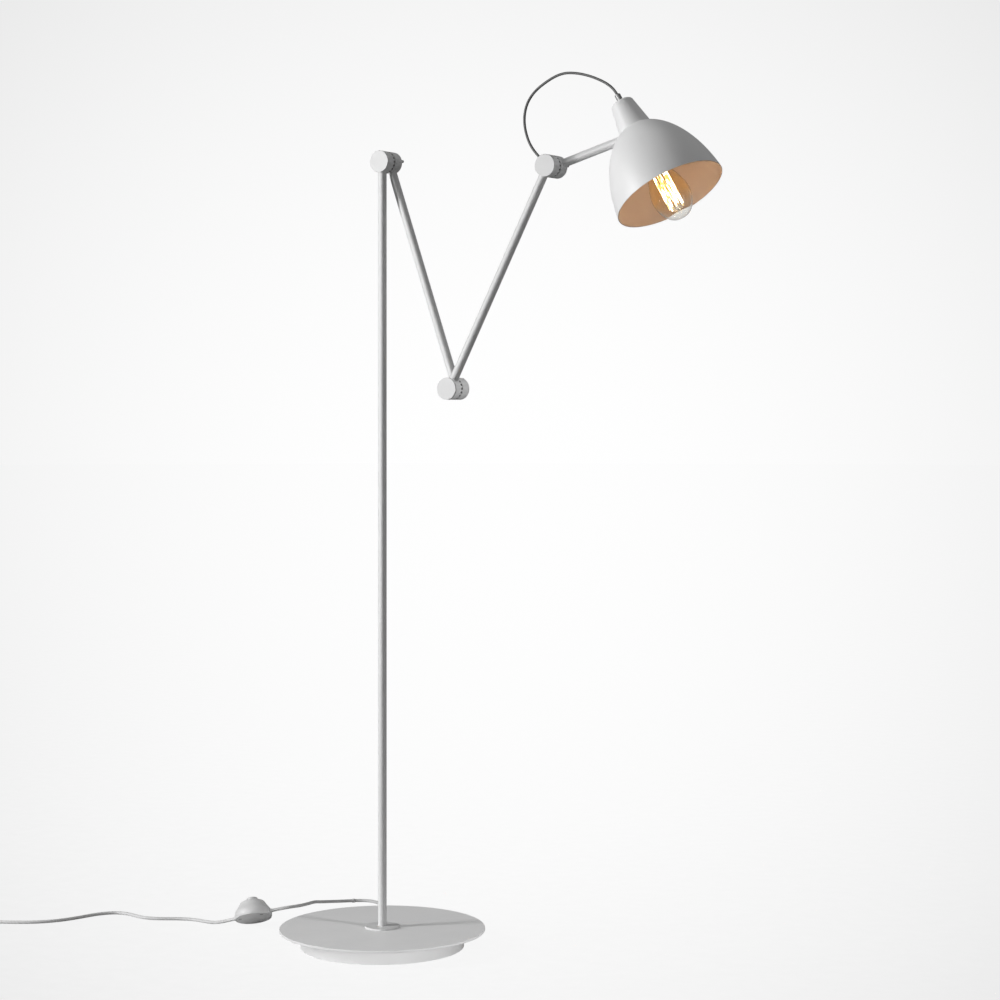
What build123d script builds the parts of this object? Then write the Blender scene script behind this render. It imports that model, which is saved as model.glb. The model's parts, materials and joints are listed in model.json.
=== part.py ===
from build123d import *
import math
import os

# Adjustable arm floor lamp. Millimetres, +Z up. The origin is the centre of the base's underside, on the
# floor. The three arms swing in planes across Y, towards +X; each joint's plain cap faces -Y.

# ---- base --------------------------------------------------------------------------------------------
base_radius = 170.0
base_thickness = 4.0
base_edge_round = 0.8
plinth_radius = 135.0
plinth_wall = 1.5
plinth_gap = 0.2            # between the plinth's band and the counterweight
channel_gap = 0.3           # beside the gland, in the counterweight's channel for it
plinth_height = 26.5
pad_radius = 128.0
pad_thickness = 1.5
flange_radius = 29.0
flange_thickness = 3.0
flange_edge_round = 0.8
nut_recess_radius = 14.0
nut_recess_depth = 20.5
nut_thickness = 5.0
nut_corner_radius = 10.0
stud_below_nut = 1.0
stud_in_pole = 20.0
stud_bore_radius = 3.5

# ---- tubes and joints --------------------------------------------------------------------------------
tube_radius = 7.0
tube_wall = 1.2
wire_radius = 2.0
wire_bend_radius = 12.0
shoulder_height = 1298.0
arm_length = 398.0          # between joint axes, for the first and the second arm
arm3_reach = 156.5          # from the wrist's axis to the shade's axis
arm1_from_down = 19.3       # degrees
arm2_elevation = 62.5       # degrees
arm3_elevation = 16.3       # degrees
barrel_radius = 18.0
barrel_wall = 3.0
web_thickness = 2.4
cap_thickness = 2.5
cap_lip_wall = 1.5
cap_edge_round = 0.7
barrel_edge = 0.35
ring_thickness = 2.2
notch_count = 18
notch_width = 3.6
notch_depth = 3.0
notch_over = 0.5            # how much longer than deep each notch is cut
joint_gap = 0.2             # between the notched ring and the half that turns
tube_to_cap = 1.25          # from a tube's side to its barrel's cap, taken up by the cap's lip
tube_to_web = 0.15
tube_depth = 5.5            # how far a tube reaches in past the barrel's surface
pivot_radius = 5.0
pivot_flange_radius = 8.5
pivot_flange_thickness = 2.5
pivot_beyond_web = 2.0
running_clearance = 0.05

# ---- clamping levers ---------------------------------------------------------------------------------
screw_radius = 2.45
hub_radius = 5.0
hub_length = 6.5
hub_edge_round = 1.0
lever_bar_radius = 1.2
lever_bar_from_face = 4.0
lever_half_length = 17.5
lever_end_radius = 2.3
lever_end_length = 3.4
lever_end_round = 0.5
lever_tilt = {"shoulder": 10.0, "elbow": 82.0, "wrist": 7.0}    # of the bar, from level

# ---- head: lengths run along its axis from where the third arm's axis meets it, + towards the rim ------
head_forward_tilt = 31.8    # degrees from straight down
head_side_tilt = 4.2
shade_wall = 1.0
rim_at = 115.0
dome_top_at = -8.0
dome_long_radius = 158.5    # the dome is a slice of an ellipsoid
dome_cross_radius = 90.8
dome_centre_at = 143.0
neck_top_at = -60.0
neck_top_radius = 18.0
neck_edge_round = 4.5
arm3_to_holder = 3.0        # from the end of the third arm's tube to the lampholder
collar_wall = 1.4
collar_length = 2.5
swivel_bush_wall = 2.5
swivel_bush_length = 12.0
swivel_gap = 0.2
bush_fit = 0.1              # between the bush and the shell round it
shelf_inset = 2.0           # from the dome's outside to the edge of the shelf across its top
skin_clearance = 0.3        # round the third arm, in the neck and the dome
grip_radius = 4.75
grip_length = 16.0
grip_edge_round = 1.2
grip_shank_radius = 4.0
grip_shank_length = 6.0
holder_radius = 17.0
holder_top_at = -14.0
holder_top_slope = 4.0
holder_mouth_at = 38.0
holder_wall = 3.2
holder_floor = 24.0
holder_flange_width = 1.5
holder_flange_thickness = 2.0
bulb_radius = 31.5
bulb_tip_at = 156.5
bulb_wall = 0.8
bulb_widest_from_tip = 36.0
bulb_shoulder_from_tip = 6.5
bulb_shoulder_share = 0.62      # of the widest radius
bulb_shoulder_shrink = 0.8      # how much of the wall the shoulder moves in by
bulb_flare = [(1.5, 10.0), (9.0, 40.0)]     # beyond the neck's radius, above the cap
bulb_neck_radius = 13.0
bulb_cap_radius = 13.6
bulb_cap_from = 16.0
bulb_cap_to = 41.0
bulb_cap_slope = 4.0
bulb_cap_foot_radius = 8.0
bulb_contact_radius = 4.5
stem_radius = 4.5
stem_length = 32.0
stem_flare_length = 12.0
stem_flare_gap = 1.0
stem_end_slope = 2.0
stem_rod_radius = 1.2
stem_rod_beyond = 3.0       # past the filament's lower end
filament_radius = 0.5
filament_count = 10
filament_top_ring = 7.0
filament_low_ring = 11.0
filament_top_at = 76.0
filament_low_at = 140.0

# ---- cable loop from the wrist to the head -----------------------------------------------------------
loop_radius = 2.1
loop_exit_angle = 136.0     # degrees round the wrist's barrel, from +X towards +Z
bush_radius = 3.4
bush_flange_radius = 4.6
bush_out = 3.0
loop_lower_points = [
    (285.8, 0, 1303.9), (275, 2.2, 1324), (268.3, 4.8, 1348), (269.5, 7.5, 1371), (278, 10.2, 1390),
    (292.1, 12.9, 1403.8),
]
loop_middle = (309.6, 14.9, 1413.5)
loop_upper_points = [
    (327.1, 16.9, 1423.2), (349, 19.3, 1423.5), (371, 22, 1418.8), (394, 25.2, 1410.5), (417.2, 28.3, 1397.3),
]

# ---- mains cord --------------------------------------------------------------------------------------
cord_radius = 2.75
cord_floor = cord_radius + 0.1
gland_heading = 121.0       # degrees round the base, from +X towards +Y
gland_height = 8.0
gland_radius = 4.5
gland_flange_radius = 6.5
gland_flange_thickness = 2.0
gland_inside = 8.0
gland_tip_radius = 3.4
gland_taper = 24.0
arc_share = 0.45            # of the shorter run, at each corner of a cord's path
base_run_points = [
    (-93.8, 157.1, 6.6), (-107.6, 179.1, cord_floor), (-126.2, 204.2, cord_floor),
    (-146.9, 229, cord_floor), (-166.2, 251.3, cord_floor), (-185.4, 267.8, cord_floor),
    (-208.5, 277.2, cord_floor), (-230, 270.1, cord_floor), (-244.7, 251.9, 3.4), (-247.4, 223.5, 7.5),
    (-242.6, 184.4, 14.5), (-232.5, 144, 22.5), (-220.5, 117.5, 29), (-206.8, 81.8, 34),
    (-202.1, 58.2, 36.2), (-206.5, 38.7, 36.6), (-220, 24.1, 35.3),
]
floor_run_points = [
    (-316.6, -6.3, 8.2), (-331, -10.4, 4.3), (-347, -12.5, cord_floor), (-366, -11.5, cord_floor),
    (-386, -8.5, cord_floor), (-409, -14.5, cord_floor), (-434, -30, cord_floor),
    (-461, -43.5, cord_floor), (-490, -40, cord_floor), (-515, -31, cord_floor),
    (-540, -35, cord_floor), (-556, -54, cord_floor), (-564.5, -78, cord_floor),
    (-570, -104, cord_floor), (-580, -131, cord_floor), (-597, -156, cord_floor),
    (-620, -175.5, cord_floor), (-650, -191.5, cord_floor), (-679.3, -205.2, cord_floor),
]
coil_centre = (-736.6, -201.1)
coil_lower_radii = (22.0, 33.0)     # innermost and outermost turn that lie on the floor
coil_upper_radii = (24.75, 30.25)   # and of the turns on top of them
coil_upper_height = 7.1
coil_lead_in = 25.0
coil_lead_out = 26.0
cord_away = 31.0            # degrees: the coil's leads run square to this heading

# ---- plug --------------------------------------------------------------------------------------------
plug_relief_length = 22.0
plug_length = 35.0
plug_width = 35.0
plug_nose_width = 26.0
plug_height = 13.8
pin_radius = 2.0
pin_length = 19.0
pin_spacing = 18.6
pin_depth = 6.0
pin_end_round = 1.2
plug_back_share = 0.6       # of the width, where the relief meets the body
plug_widest_share = 0.4     # of the length
plug_corner = 4.0
plug_relief_tip = 0.8       # beyond the cord's radius
plug_relief_root = 2.4

# ---- foot switch: lengths run up its own axis from the middle of its underside ------------------------
switch_place = (-269.3, 5.6, 15.2)
switch_lean = 29.1
switch_lean_heading = 136.2
switch_cord_heading = 10.5
switch_rim_radius = 32.0
switch_foot_radius = 31.0
switch_rim_height = 3.0
switch_side_inset = 1.4     # of the side, in from the rim
switch_side_height = 12.0
switch_shoulder_radius = 24.0
switch_shoulder_height = 22.0
switch_top_height = 30.0
switch_collar_radius = 14.0
switch_wall = 2.0
switch_plate_thickness = 2.0
switch_plate_gap = 0.1
switch_cord_height = 6.5
grommet_radius = 4.2
grommet_tip_radius = 3.3
grommet_out = 35.0
grommet_tapers_from = 28.0
grommet_inside = 25.0
button_radius = 10.0
button_skirt_radius = 11.8
button_gap = 0.3
button_skirt = 2.0
button_proud = 6.0
button_edge_round = 3.0
contact_block_size = (26.0, 18.0, 9.0)
spring_radius = 5.0
spring_wire_radius = 0.5
spring_turns = 4
switch_screw_radius = 1.5
switch_screw_head_radius = 3.0
switch_screw_head = 1.0
switch_screw_length = 9.0
switch_screw_circle = 23.0
switch_boss_radius = 3.5

# ---- for cuts ----------------------------------------------------------------------------------------
past = 1.0                  # how far a cut runs on beyond a face
cut_through = 60.0          # longer than anything it cuts through

# ---- what follows from those sizes -------------------------------------------------------------------
tube_bore = tube_radius - tube_wall
tube_centre = cap_thickness + tube_to_cap + tube_radius     # from a barrel's outer face to its tube's axis
half_length = tube_centre + tube_radius + tube_to_web + web_thickness   # of half a joint, with its cap
collar_radius = tube_radius + collar_wall
swivel_bush_radius = tube_radius + swivel_bush_wall
holder_flange_radius = holder_radius + holder_flange_width
arm3_end_gap = holder_radius + arm3_to_holder               # from the shade's axis to the tube's end
plinth_top = pad_thickness + plinth_height
base_top = plinth_top + base_thickness
barrel_front = -tube_centre
barrel_length = 2 * half_length + ring_thickness + joint_gap
rear_plane = barrel_front + barrel_length - tube_centre
shoulder = Vector(0, 0, shoulder_height)
elbow = shoulder + arm_length * Vector(
    math.sin(math.radians(arm1_from_down)), 0, -math.cos(math.radians(arm1_from_down)))
wrist = elbow + arm_length * Vector(
    math.cos(math.radians(arm2_elevation)), 0, math.sin(math.radians(arm2_elevation)))
arm3_axis = Vector(math.cos(math.radians(arm3_elevation)), 0, math.sin(math.radians(arm3_elevation)))
rear_offset = Vector(0, rear_plane, 0)
head_point = wrist + rear_offset + arm3_reach * arm3_axis
head_axis = Vector(
    math.cos(math.radians(head_side_tilt)) * math.sin(math.radians(head_forward_tilt)),
    -math.sin(math.radians(head_side_tilt)),
    -math.cos(math.radians(head_side_tilt)) * math.cos(math.radians(head_forward_tilt)))
head = Plane(origin=head_point, z_dir=head_axis)
parts = {}


# ---- helpers -----------------------------------------------------------------------------------------
def rod(start, direction, radius, length):
    """A solid cylinder from a point along a direction."""
    return extrude(Plane(origin=start, z_dir=direction) * Circle(radius), amount=length)


def ring(start, direction, radius, bore, length):
    """A cylinder with a bore."""
    return extrude(Plane(origin=start, z_dir=direction) * (Circle(radius) - Circle(bore)), amount=length)


def taper(start, direction, radius, tip_radius, length):
    """A solid cone frustum from a point along a direction."""
    foot = Plane(origin=start, z_dir=direction)
    return loft([foot * Circle(radius), foot.offset(length) * Circle(tip_radius)])


def turned(*outline):
    """A solid of revolution about local Z, from corners given as (radius, height)."""
    return revolve(Plane.XZ * make_face(Polyline(*outline, close=True)), Axis.Z)


def cord_path(points):
    """Straight runs joined by tangent arcs, each as large as its two runs allow, and the arcs' radii."""
    corners = [Vector(*p) for p in points]
    radii = []
    for before, here, after in zip(corners, corners[1:], corners[2:]):
        run_in = here - before
        run_out = after - here
        half_turn = math.radians(run_in.get_angle(run_out)) / 2
        radii.append(arc_share * min(run_in.length, run_out.length) / math.tan(half_turn))
    return FilletPolyline(*corners, radius=radii), radii


def cord(name, points, radius):
    """A round cord along its path, with its length, radii and volume printed."""
    path, radii = cord_path(points)
    section = Plane(origin=path @ 0, z_dir=path % 0) * Circle(radius)
    solid = sweep(section, path=path)
    expected = math.pi * radius ** 2 * path.length
    print(name, "length", round(path.length, 1), "volume ratio", round(solid.volume / expected, 4))
    print("  radii", [round(r, 1) for r in radii])
    return solid


# ---- base and pole -----------------------------------------------------------------------------------
def make_base():
    up = Vector(0, 0, 1)
    weight_radius = plinth_radius - plinth_wall - plinth_gap
    heading = Vector(math.cos(math.radians(gland_heading)), math.sin(math.radians(gland_heading)), 0)
    channel = Plane(origin=(0, 0, gland_height), z_dir=heading) * Rectangle(
        2 * (gland_radius + channel_gap), 2 * (gland_height - pad_thickness))
    weight = rod((0, 0, pad_thickness), up, weight_radius, plinth_height)
    weight -= rod((0, 0, pad_thickness), up, nut_recess_radius, nut_recess_depth)
    weight -= rod((0, 0, pad_thickness), up, tube_bore, plinth_height)
    weight -= extrude(channel, amount=weight_radius + past)
    band = ring((0, 0, pad_thickness), up, plinth_radius, plinth_radius - plinth_wall, plinth_height)
    band -= rod((0, 0, gland_height), heading, gland_radius, plinth_radius + past)
    plate = ring((0, 0, plinth_top), up, base_radius, tube_bore, base_thickness)
    plate = fillet(plate.edges().filter_by(GeomType.CIRCLE).sort_by(SortBy.RADIUS)[-2:], base_edge_round)
    flange = ring((0, 0, base_top), up, flange_radius, tube_radius, flange_thickness)
    flange = fillet(flange.edges().filter_by(GeomType.CIRCLE).group_by(SortBy.RADIUS)[-1].group_by(
        Axis.Z)[-1], flange_edge_round)
    pole_top = shoulder_height - (barrel_radius - tube_depth)
    nut_top = pad_thickness + nut_recess_depth
    stud_foot = nut_top - nut_thickness - stud_below_nut
    stud = ring((0, 0, stud_foot), up, tube_bore, stud_bore_radius, base_top + stud_in_pole - stud_foot)
    nut = extrude(Plane.XY.offset(nut_top - nut_thickness) * (
        RegularPolygon(nut_corner_radius, 6) - Circle(tube_bore)), amount=nut_thickness)
    gland_start = (plinth_radius - gland_inside) * heading + Vector(0, 0, gland_height)
    gland_wall = plinth_radius * heading + Vector(0, 0, gland_height)
    gland = rod(gland_start, heading, gland_radius, gland_inside)
    gland += rod(gland_wall, heading, gland_flange_radius, gland_flange_thickness)
    gland += taper(gland_wall + gland_flange_thickness * heading, heading, gland_radius, gland_tip_radius,
                   gland_taper - gland_flange_thickness)
    gland -= rod(gland_start, heading, cord_radius, gland_inside + gland_taper)
    wire_path = FilletPolyline(
        gland_start, Vector(0, 0, gland_height), Vector(0, 0, pole_top - past), radius=wire_bend_radius)
    wire = sweep(Plane(origin=wire_path @ 0, z_dir=wire_path % 0) * Circle(wire_radius), path=wire_path)
    parts["floor_pad"] = rod((0, 0, 0), up, pad_radius, pad_thickness)
    parts["counterweight"] = weight
    parts["plinth_cover"] = band
    parts["base_disc"] = plate
    parts["pole_flange"] = flange
    parts["pole_fixing"] = Compound([stud, nut])
    parts["pole"] = ring((0, 0, base_top), up, tube_radius, tube_bore, pole_top - base_top)
    parts["pole_wire"] = wire
    parts["cord_gland"] = gland
    return gland_wall + gland_taper * heading


# ---- joints ------------------------------------------------------------------------------------------
def half_barrel(centre, towards, front):
    """One cup of a joint, open at its outer end, with a hole in its side for its tube."""
    across = Vector(0, 1, 0)
    outer = barrel_front + cap_thickness
    web = outer + half_length - cap_thickness - web_thickness
    if not front:
        outer = barrel_front + barrel_length - cap_thickness
        across = -across
        web = outer - (half_length - cap_thickness - web_thickness)
    start = centre + Vector(0, outer, 0)
    length = half_length - cap_thickness
    cup = rod(start, across, barrel_radius, length)
    cup = chamfer(cup.edges().filter_by(GeomType.CIRCLE), barrel_edge)
    cup -= rod(start, across, barrel_radius - barrel_wall, length - web_thickness)
    hole = pivot_radius if front else pivot_radius + running_clearance
    cup -= rod(centre + Vector(0, web, 0), across, hole, web_thickness + past)
    middle = centre + (Vector(0, 0, 0) if front else rear_offset)
    cup -= rod(middle + towards * (barrel_radius - tube_depth), towards, tube_radius, tube_depth + past)
    return cup


def cap(centre, front):
    """The disc that closes a half barrel, with a lip inside it. The rear one lets the screw through."""
    across = Vector(0, 1, 0) if front else Vector(0, -1, 0)
    face = centre + Vector(0, barrel_front if front else barrel_front + barrel_length, 0)
    disc = rod(face, across, barrel_radius, cap_thickness)
    disc = fillet(disc.edges().filter_by(GeomType.CIRCLE).sort_by(Axis.Y)[0 if front else -1],
                  cap_edge_round)
    lip_radius = barrel_radius - barrel_wall
    disc += ring(face + across * cap_thickness, across, lip_radius, lip_radius - cap_lip_wall, tube_to_cap)
    if not front:
        disc -= rod(face, across, screw_radius + running_clearance, cap_thickness)
    return disc


def index_ring(centre):
    """The ring between the two halves, notched all round its rim."""
    notches = PolarLocations(barrel_radius - notch_depth / 2, notch_count) * Rectangle(
        notch_depth + notch_over, notch_width)
    face = Plane(origin=centre + Vector(0, barrel_front + half_length, 0), x_dir=(1, 0, 0), z_dir=(0, 1, 0))
    return extrude(face * (Circle(barrel_radius) - notches - Circle(pivot_radius)), amount=ring_thickness)


def pivot_nut(centre):
    """A flanged threaded sleeve: the joint's axle, and the nut for its lever's screw."""
    web = barrel_front + half_length - web_thickness
    reach = web_thickness * 2 + ring_thickness + joint_gap + pivot_beyond_web
    flange = Plane(origin=centre + Vector(0, web, 0), x_dir=(1, 0, 0), z_dir=(0, -1, 0))
    nut = extrude(flange * RegularPolygon(pivot_flange_radius, 6), amount=pivot_flange_thickness)
    nut += rod(centre + Vector(0, web, 0), (0, 1, 0), pivot_radius, reach)
    bore_start = centre + Vector(0, web - pivot_flange_thickness - past, 0)
    return nut - rod(bore_start, (0, 1, 0), screw_radius + running_clearance, cut_through)


def clamp_lever(name, centre):
    """A screw with a hub, a cross bar through the hub, and a knob on each end of the bar."""
    across = Vector(0, 1, 0)
    tilt = math.radians(lever_tilt[name])
    bar_way = Vector(math.cos(tilt), 0, math.sin(tilt))
    face = centre + Vector(0, barrel_front + barrel_length + joint_gap, 0)
    screw_start = centre + Vector(0, barrel_front + half_length - web_thickness, 0)
    hub = rod(face, across, hub_radius, hub_length)
    hub = fillet(hub.edges().filter_by(GeomType.CIRCLE).sort_by(Axis.Y)[-1], hub_edge_round)
    hub += rod(screw_start, across, screw_radius, (face - screw_start).length)
    bar_middle = face + across * lever_bar_from_face
    bar_half = lever_half_length - lever_end_length
    bar = rod(bar_middle - bar_way * bar_half, bar_way, lever_bar_radius, 2 * bar_half)
    knobs = [
        fillet(rod(bar_middle + side * bar_half * bar_way, side * bar_way, lever_end_radius,
                   lever_end_length).edges().filter_by(GeomType.CIRCLE), lever_end_round)
        for side in (-1, 1)
    ]
    return Compound([hub - bar, bar, *knobs])


def arm_tube(start, end, start_gap, end_gap):
    """A round tube between two points, short of them by the two gaps."""
    way = (end - start).normalized()
    length = (end - start).length - start_gap - end_gap
    return ring(start + way * start_gap, way, tube_radius, tube_bore, length)


def arm_wire(start, end, gap):
    way = (end - start).normalized()
    return rod(start + way * gap, way, wire_radius, (end - start).length - 2 * gap)


def make_joint(name, centre, front_towards, rear_towards):
    parts[f"{name}_front_barrel"] = half_barrel(centre, front_towards, True)
    parts[f"{name}_front_cap"] = cap(centre, True)
    parts[f"{name}_index_ring"] = index_ring(centre)
    parts[f"{name}_pivot_nut"] = pivot_nut(centre)
    parts[f"{name}_rear_barrel"] = half_barrel(centre, rear_towards, False)
    parts[f"{name}_rear_cap"] = cap(centre, False)
    parts[f"{name}_lever"] = clamp_lever(name, centre)


def make_arms():
    inside = barrel_radius - tube_depth
    arm1_way = (elbow - shoulder).normalized()
    arm2_way = (wrist - elbow).normalized()
    make_joint("shoulder", shoulder, Vector(0, 0, -1), arm1_way)
    make_joint("elbow", elbow, arm2_way, -arm1_way)
    make_joint("wrist", wrist, -arm2_way, arm3_axis)
    parts["arm1_tube"] = arm_tube(shoulder + rear_offset, elbow + rear_offset, inside, inside)
    parts["arm1_wire"] = arm_wire(shoulder + rear_offset, elbow + rear_offset, inside)
    parts["arm2_tube"] = arm_tube(elbow, wrist, inside, inside)
    parts["arm2_wire"] = arm_wire(elbow, wrist, inside)
    parts["arm3_tube"] = arm_tube(wrist + rear_offset, head_point, inside, arm3_end_gap)


# ---- head --------------------------------------------------------------------------------------------
def ellipsoid_slice(long_radius, cross_radius, start, end):
    """The part of an ellipsoid about local Z between two heights."""
    half = EllipticalCenterArc((0, dome_centre_at), cross_radius, long_radius, start_angle=-90, arc_size=180)
    whole = revolve(Plane.XZ * make_face([half, Line(half @ 1, half @ 0)]), Axis.Z)
    slab = extrude(Plane.XY.offset(start) * Circle(2 * cross_radius), amount=end - start)
    return whole & slab


def cone_with_round_top(top, top_radius, foot, foot_radius, round_radius):
    cone = turned((0, top), (top_radius, top), (foot_radius, foot), (0, foot))
    return fillet(cone.edges().filter_by(GeomType.CIRCLE).sort_by(Axis.Z)[0], round_radius)


def bulb_outline(shrink):
    """The bulb's envelope as one solid, from its neck to its tip, made smaller all round by a wall."""
    neck = bulb_neck_radius - shrink
    flare = [(neck + wider, bulb_cap_to + higher) for wider, higher in bulb_flare]
    shoulder_at = bulb_tip_at - bulb_shoulder_from_tip - shrink * bulb_shoulder_shrink
    side = Spline(
        (neck, bulb_cap_to), *flare, (bulb_radius - shrink, bulb_tip_at - bulb_widest_from_tip),
        (bulb_radius * bulb_shoulder_share, shoulder_at), (0, bulb_tip_at - shrink),
        tangents=[(0, 1), (-1, 0)])
    close = Polyline((0, bulb_tip_at - shrink), (0, bulb_cap_to), (neck, bulb_cap_to))
    return revolve(Plane.XZ * make_face([side, close]), Axis.Z)


def make_head():
    dome_top_radius = dome_cross_radius * math.sqrt(
        1 - ((dome_centre_at - dome_top_at) / dome_long_radius) ** 2)
    inner_neck_foot = dome_top_radius - shade_wall
    # all of the head is drawn about local Z and then placed; the third arm's axis in that local frame
    local_way = head.to_local_coords(Vector(head_point - arm3_axis))
    arm_plane = Plane(origin=(0, 0, 0), z_dir=local_way)

    def round_arm(radius, start, end):
        return extrude(arm_plane.offset(start) * Circle(radius), amount=end - start)

    dome_inside = ellipsoid_slice(
        dome_long_radius - shade_wall, dome_cross_radius - shade_wall, dome_top_at + shade_wall, rim_at)
    dome = ellipsoid_slice(dome_long_radius, dome_cross_radius, dome_top_at, rim_at)
    shelf_disc = extrude(
        Plane.XY.offset(dome_top_at) * Circle(dome_top_radius - shelf_inset), amount=shade_wall)
    shelf = dome & shelf_disc
    skin = dome - dome_inside - shelf_disc
    shelf -= round_arm(swivel_bush_radius + bush_fit, 0, 2 * dome_top_radius)
    skin -= round_arm(tube_radius + skin_clearance, 0, 3 * dome_top_radius)
    shade = (shelf + skin) - extrude(
        Plane.XY.offset(dome_top_at) * Circle(holder_radius), amount=shade_wall + past)
    neck_inside = cone_with_round_top(
        neck_top_at + shade_wall, neck_top_radius - shade_wall, dome_top_at, inner_neck_foot,
        neck_edge_round - shade_wall)
    neck = cone_with_round_top(neck_top_at, neck_top_radius, dome_top_at, dome_top_radius, neck_edge_round)
    neck -= neck_inside
    neck -= extrude(Plane.XY.offset(neck_top_at) * Circle(grip_shank_radius), amount=shade_wall)
    neck -= round_arm(tube_radius + skin_clearance, 0, 3 * dome_top_radius)

    collar_end = arm3_end_gap + collar_length
    bush_start = collar_end + swivel_gap
    room = neck_inside + shelf_disc + ellipsoid_slice(
        dome_long_radius - shade_wall - bush_fit, dome_cross_radius - shade_wall - bush_fit,
        dome_top_at + shade_wall, rim_at)
    bush = round_arm(swivel_bush_radius, bush_start, bush_start + swivel_bush_length) & room
    bush -= round_arm(tube_radius + running_clearance, 0, 3 * dome_top_radius)
    collar = round_arm(collar_radius, arm3_end_gap, collar_end) - round_arm(tube_radius, 0, cut_through)

    grip = extrude(Plane.XY.offset(neck_top_at - grip_length) * Circle(grip_radius), amount=grip_length)
    grip = fillet(grip.edges().filter_by(GeomType.CIRCLE).sort_by(Axis.Z)[0], grip_edge_round)
    grip += extrude(Plane.XY.offset(neck_top_at) * Circle(grip_shank_radius), amount=grip_shank_length)
    grip -= extrude(Plane.XY.offset(neck_top_at - grip_length) * Circle(loop_radius), amount=cut_through)

    bore = holder_radius - holder_wall
    floor_at = holder_mouth_at - holder_floor
    flange_at = dome_top_at + shade_wall
    holder = turned(
        (0, holder_top_at), (holder_radius - holder_top_slope, holder_top_at),
        (holder_radius, holder_top_at + holder_top_slope),
        (holder_radius, flange_at), (holder_flange_radius, flange_at),
        (holder_flange_radius, flange_at + holder_flange_thickness),
        (holder_radius, flange_at + holder_flange_thickness), (holder_radius, holder_mouth_at),
        (bore, holder_mouth_at), (bore, floor_at), (0, floor_at))
    bulb_cap = turned(
        (0, floor_at), (bulb_contact_radius, floor_at), (bulb_cap_foot_radius, bulb_cap_from),
        (bulb_cap_radius, bulb_cap_from + bulb_cap_slope),
        (bulb_cap_radius, bulb_cap_to), (0, bulb_cap_to))
    glass = bulb_outline(0) - bulb_outline(bulb_wall)
    stem_top = bulb_cap_to + stem_length
    stem_tip = filament_low_at + stem_rod_beyond
    stem = turned(
        (0, bulb_cap_to), (bulb_neck_radius - bulb_wall - stem_flare_gap, bulb_cap_to),
        (stem_radius, bulb_cap_to + stem_flare_length), (stem_radius, stem_top),
        (stem_rod_radius, stem_top + stem_end_slope), (stem_rod_radius, stem_tip), (0, stem_tip))
    strands = []
    for n in range(filament_count):
        angle = 2 * math.pi * n / filament_count
        high = Vector(filament_top_ring * math.cos(angle), filament_top_ring * math.sin(angle),
                      filament_top_at)
        low = Vector(filament_low_ring * math.cos(angle), filament_low_ring * math.sin(angle),
                     filament_low_at)
        strands.append(rod(high, low - high, filament_radius, (low - high).length))

    pieces = {
        "shade": shade, "neck_cover": neck, "swivel_bush": bush, "cord_grip": grip, "lampholder": holder,
        "bulb_cap": bulb_cap, "bulb_glass": glass, "bulb_stem": stem, "bulb_filament": Compound(strands),
        "swivel_collar": collar,
    }
    for name, piece in pieces.items():
        parts[name] = piece.moved(head.location)


# ---- cables ------------------------------------------------------------------------------------------
def make_loop():
    """The cable that leaves the wrist's front barrel and arches over to the cord grip on the head."""
    angle = math.radians(loop_exit_angle)
    out = Vector(math.cos(angle), 0, math.sin(angle))
    inside = barrel_radius - barrel_wall
    bush = rod(wrist + out * (inside - past), out, bush_radius, barrel_wall + past)
    bush += rod(wrist + out * barrel_radius, out, bush_flange_radius, bush_out)
    bush -= rod(wrist + out * inside / 2, out, loop_radius, cut_through)
    barrel = parts["wrist_front_barrel"] - rod(wrist + out * inside / 2, out, bush_radius, barrel_radius)
    bush -= rod(wrist + Vector(0, -tube_centre, 0), (0, 1, 0), barrel_radius, 2 * tube_centre) - rod(
        wrist + out * inside / 2, out, bush_radius, barrel_radius)
    start = wrist + out * (barrel_radius + bush_out)
    end = head_point + head_axis * (neck_top_at - grip_length)
    parts["wrist_front_barrel"] = barrel
    parts["wrist_cable_bush"] = bush
    parts["loop_cable_lower"] = cord(
        "loop_cable_lower", [start, *loop_lower_points, loop_middle], loop_radius)
    parts["loop_cable_upper"] = cord(
        "loop_cable_upper", [loop_middle, *loop_upper_points, end], loop_radius)


def make_cords(gland_tip, switch):
    away = Vector(-math.sin(math.radians(cord_away)), math.cos(math.radians(cord_away)), 0)
    right = Vector(math.cos(math.radians(cord_away)), math.sin(math.radians(cord_away)), 0)
    entry = switch.from_local_coords(Vector(grommet_out, 0, switch_cord_height))
    outlet = switch.from_local_coords(Vector(-grommet_out, 0, switch_cord_height))
    centre = Vector(*coil_centre, 0)
    join = centre - away * coil_lower_radii[1] + Vector(0, 0, cord_floor)
    lead = join + right * coil_lead_in
    leave = centre - right * coil_upper_radii[1] + Vector(0, 0, coil_upper_height)
    under = cord_floor - cord_radius
    lower = ring(centre + Vector(0, 0, under), (0, 0, 1), coil_lower_radii[1] + cord_radius,
                 coil_lower_radii[0] - cord_radius, 2 * cord_radius)
    upper = ring(centre + Vector(0, 0, cord_floor), (0, 0, 1), coil_upper_radii[1] + cord_radius,
                 coil_upper_radii[0] - cord_radius, coil_upper_height + cord_radius - cord_floor)
    coil = lower + upper + rod(join, right, cord_radius, coil_lead_in)
    coil += rod(leave, away, cord_radius, coil_lead_out)
    parts["cord_base_run"] = cord("cord_base_run", [gland_tip, *base_run_points, entry], cord_radius)
    parts["cord_floor_run"] = cord("cord_floor_run", [outlet, *floor_run_points, lead], cord_radius)
    parts["cord_coil"] = coil
    return leave + away * coil_lead_out, away, right


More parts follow.
